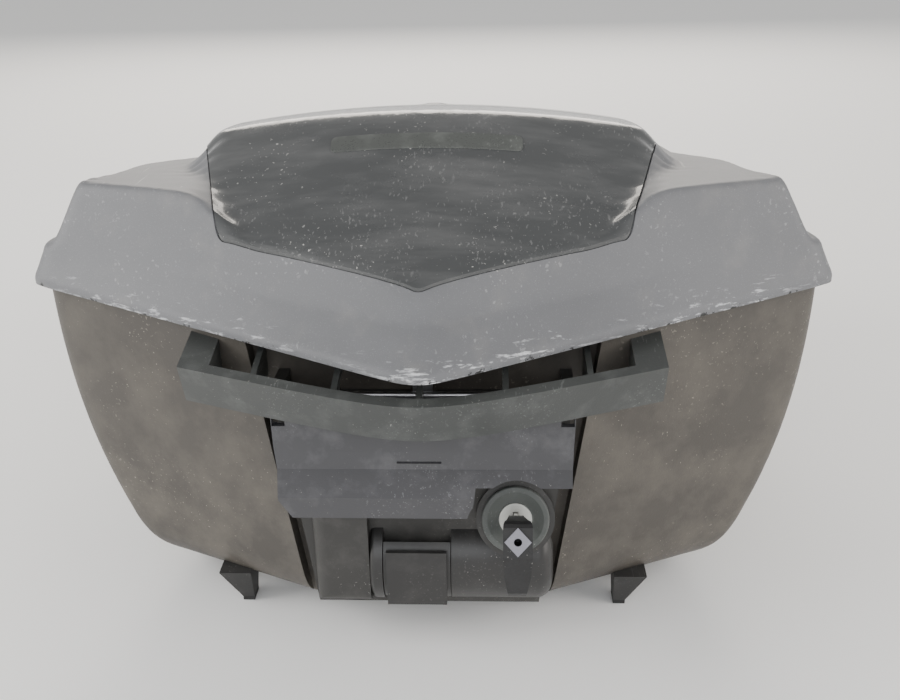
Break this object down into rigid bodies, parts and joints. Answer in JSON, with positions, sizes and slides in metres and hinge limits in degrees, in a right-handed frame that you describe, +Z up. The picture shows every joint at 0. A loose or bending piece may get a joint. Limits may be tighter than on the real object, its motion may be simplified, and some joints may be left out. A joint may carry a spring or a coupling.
{
  "type": "motorcycle top case",
  "caption": "Hard luggage case for a motorcycle rack, with hinged lid, carry handle, latch flap, key lock and carrier release.",
  "frame": {"origin": "bottom centre of the bounding box; the feet stand on z = 0", "axes": "+X across the case, -Y is the lock and handle side, +Y is the hinge side, +Z up"},
  "size_m": [0.4401, 0.4451, 0.278],
  "materials": {
    "textured_shell": "coarse moulded grain, worn",
    "mat_rubber": "matt",
    "seal_rubber": "satin",
    "handle_plastic": "satin",
    "housing_plastic": "fine grain",
    "screw_steel": "zinc plated",
    "pin_steel": "turned",
    "flap_plastic": "satin metallic grain",
    "hook_steel": "pressed",
    "bezel_plastic": "satin",
    "lock_metal": "die cast zinc",
    "plug_nickel": "satin nickel",
    "key_plastic": "fine grain",
    "key_badge": "smooth",
    "barrel_plastic": "satin",
    "base_plastic": "grained",
    "lid_paint": "matt metallic, chipped along the edge",
    "panel_gloss": "high gloss",
    "badge_plastic": "plain bar",
    "hinge_steel": "coated"
  },
  "bodies": {
    "case": {"lower_shell": "textured_shell", "floor_mat": "mat_rubber", "rim_seal": "seal_rubber", "carry_handle": "handle_plastic", "latch_housing": "housing_plastic", "housing_screws": "screw_steel", "flap_pin": "pin_steel", "hook_pin": "pin_steel", "lock_bezel": "bezel_plastic", "lock_body": "lock_metal", "lock_nut": "lock_metal", "barrel_collar": "barrel_plastic", "barrel_cover": "barrel_plastic", "base_plate": "base_plastic", "base_screws": "screw_steel", "feet": "base_plastic", "foot_pads": "mat_rubber", "hinge_lower": "hinge_steel", "hinge_pins": "pin_steel", "hinge_screws_lower": "screw_steel"},
    "lid": {"lid_shell": "lid_paint", "lid_panel": "panel_gloss", "lid_badge": "badge_plastic", "lid_striker": "hook_steel", "striker_screws": "screw_steel", "hinge_upper": "hinge_steel", "hinge_screws_upper": "screw_steel"},
    "flap": {"latch_flap": "flap_plastic"},
    "hook": {"catch_hook": "hook_steel"},
    "plug": {"lock_plug": "plug_nickel", "lock_cam": "hook_steel"},
    "key": {"key_blade": "plug_nickel", "key_bow": "key_plastic", "key_badge": "key_badge"},
    "button": {"release_button": "barrel_plastic"},
    "carrier_hook": {"base_hook": "hook_steel"}
  },
  "joints": [
    {"name": "lid_hinge", "type": "hinge", "parent": "case", "child": "lid", "pos_m": [0, 0.217, 0.188], "axis": [-1, 0, 0], "range_deg": [0, 80]},
    {"name": "flap_hinge", "type": "hinge", "parent": "case", "child": "flap", "pos_m": [0, -0.173, 0.157], "axis": [-1, 0, 0], "range_deg": [0, 15], "stiffness_Nm_per_rad": 0.2},
    {"name": "hook_hinge", "type": "hinge", "parent": "case", "child": "hook", "pos_m": [0, -0.171, 0.143], "axis": [-1, 0, 0], "range_deg": [0, 4.5]},
    {"name": "lock_turn", "type": "hinge", "parent": "case", "child": "plug", "pos_m": [0.048, -0.179, 0.086], "axis": [0, -0.9397, 0.342], "range_deg": [0, 90]},
    {"name": "key_draw", "type": "slide", "parent": "plug", "child": "key", "axis": [0, -0.9397, 0.342], "range_m": [0, 0.036]},
    {"name": "button_press", "type": "slide", "parent": "case", "child": "button", "axis": [0, 1, 0], "range_m": [0, 0.005], "stiffness_N_per_m": 900},
    {"name": "carrier_hook_slide", "type": "slide", "parent": "case", "child": "carrier_hook", "axis": [0, 1, 0], "range_m": [0, 0.005]}
  ],
  "couplings": [
    {"joint": "hook_hinge", "follows": "flap_hinge", "ratio": 0.3},
    {"joint": "carrier_hook_slide", "follows": "button_press", "ratio": 1}
  ]
}
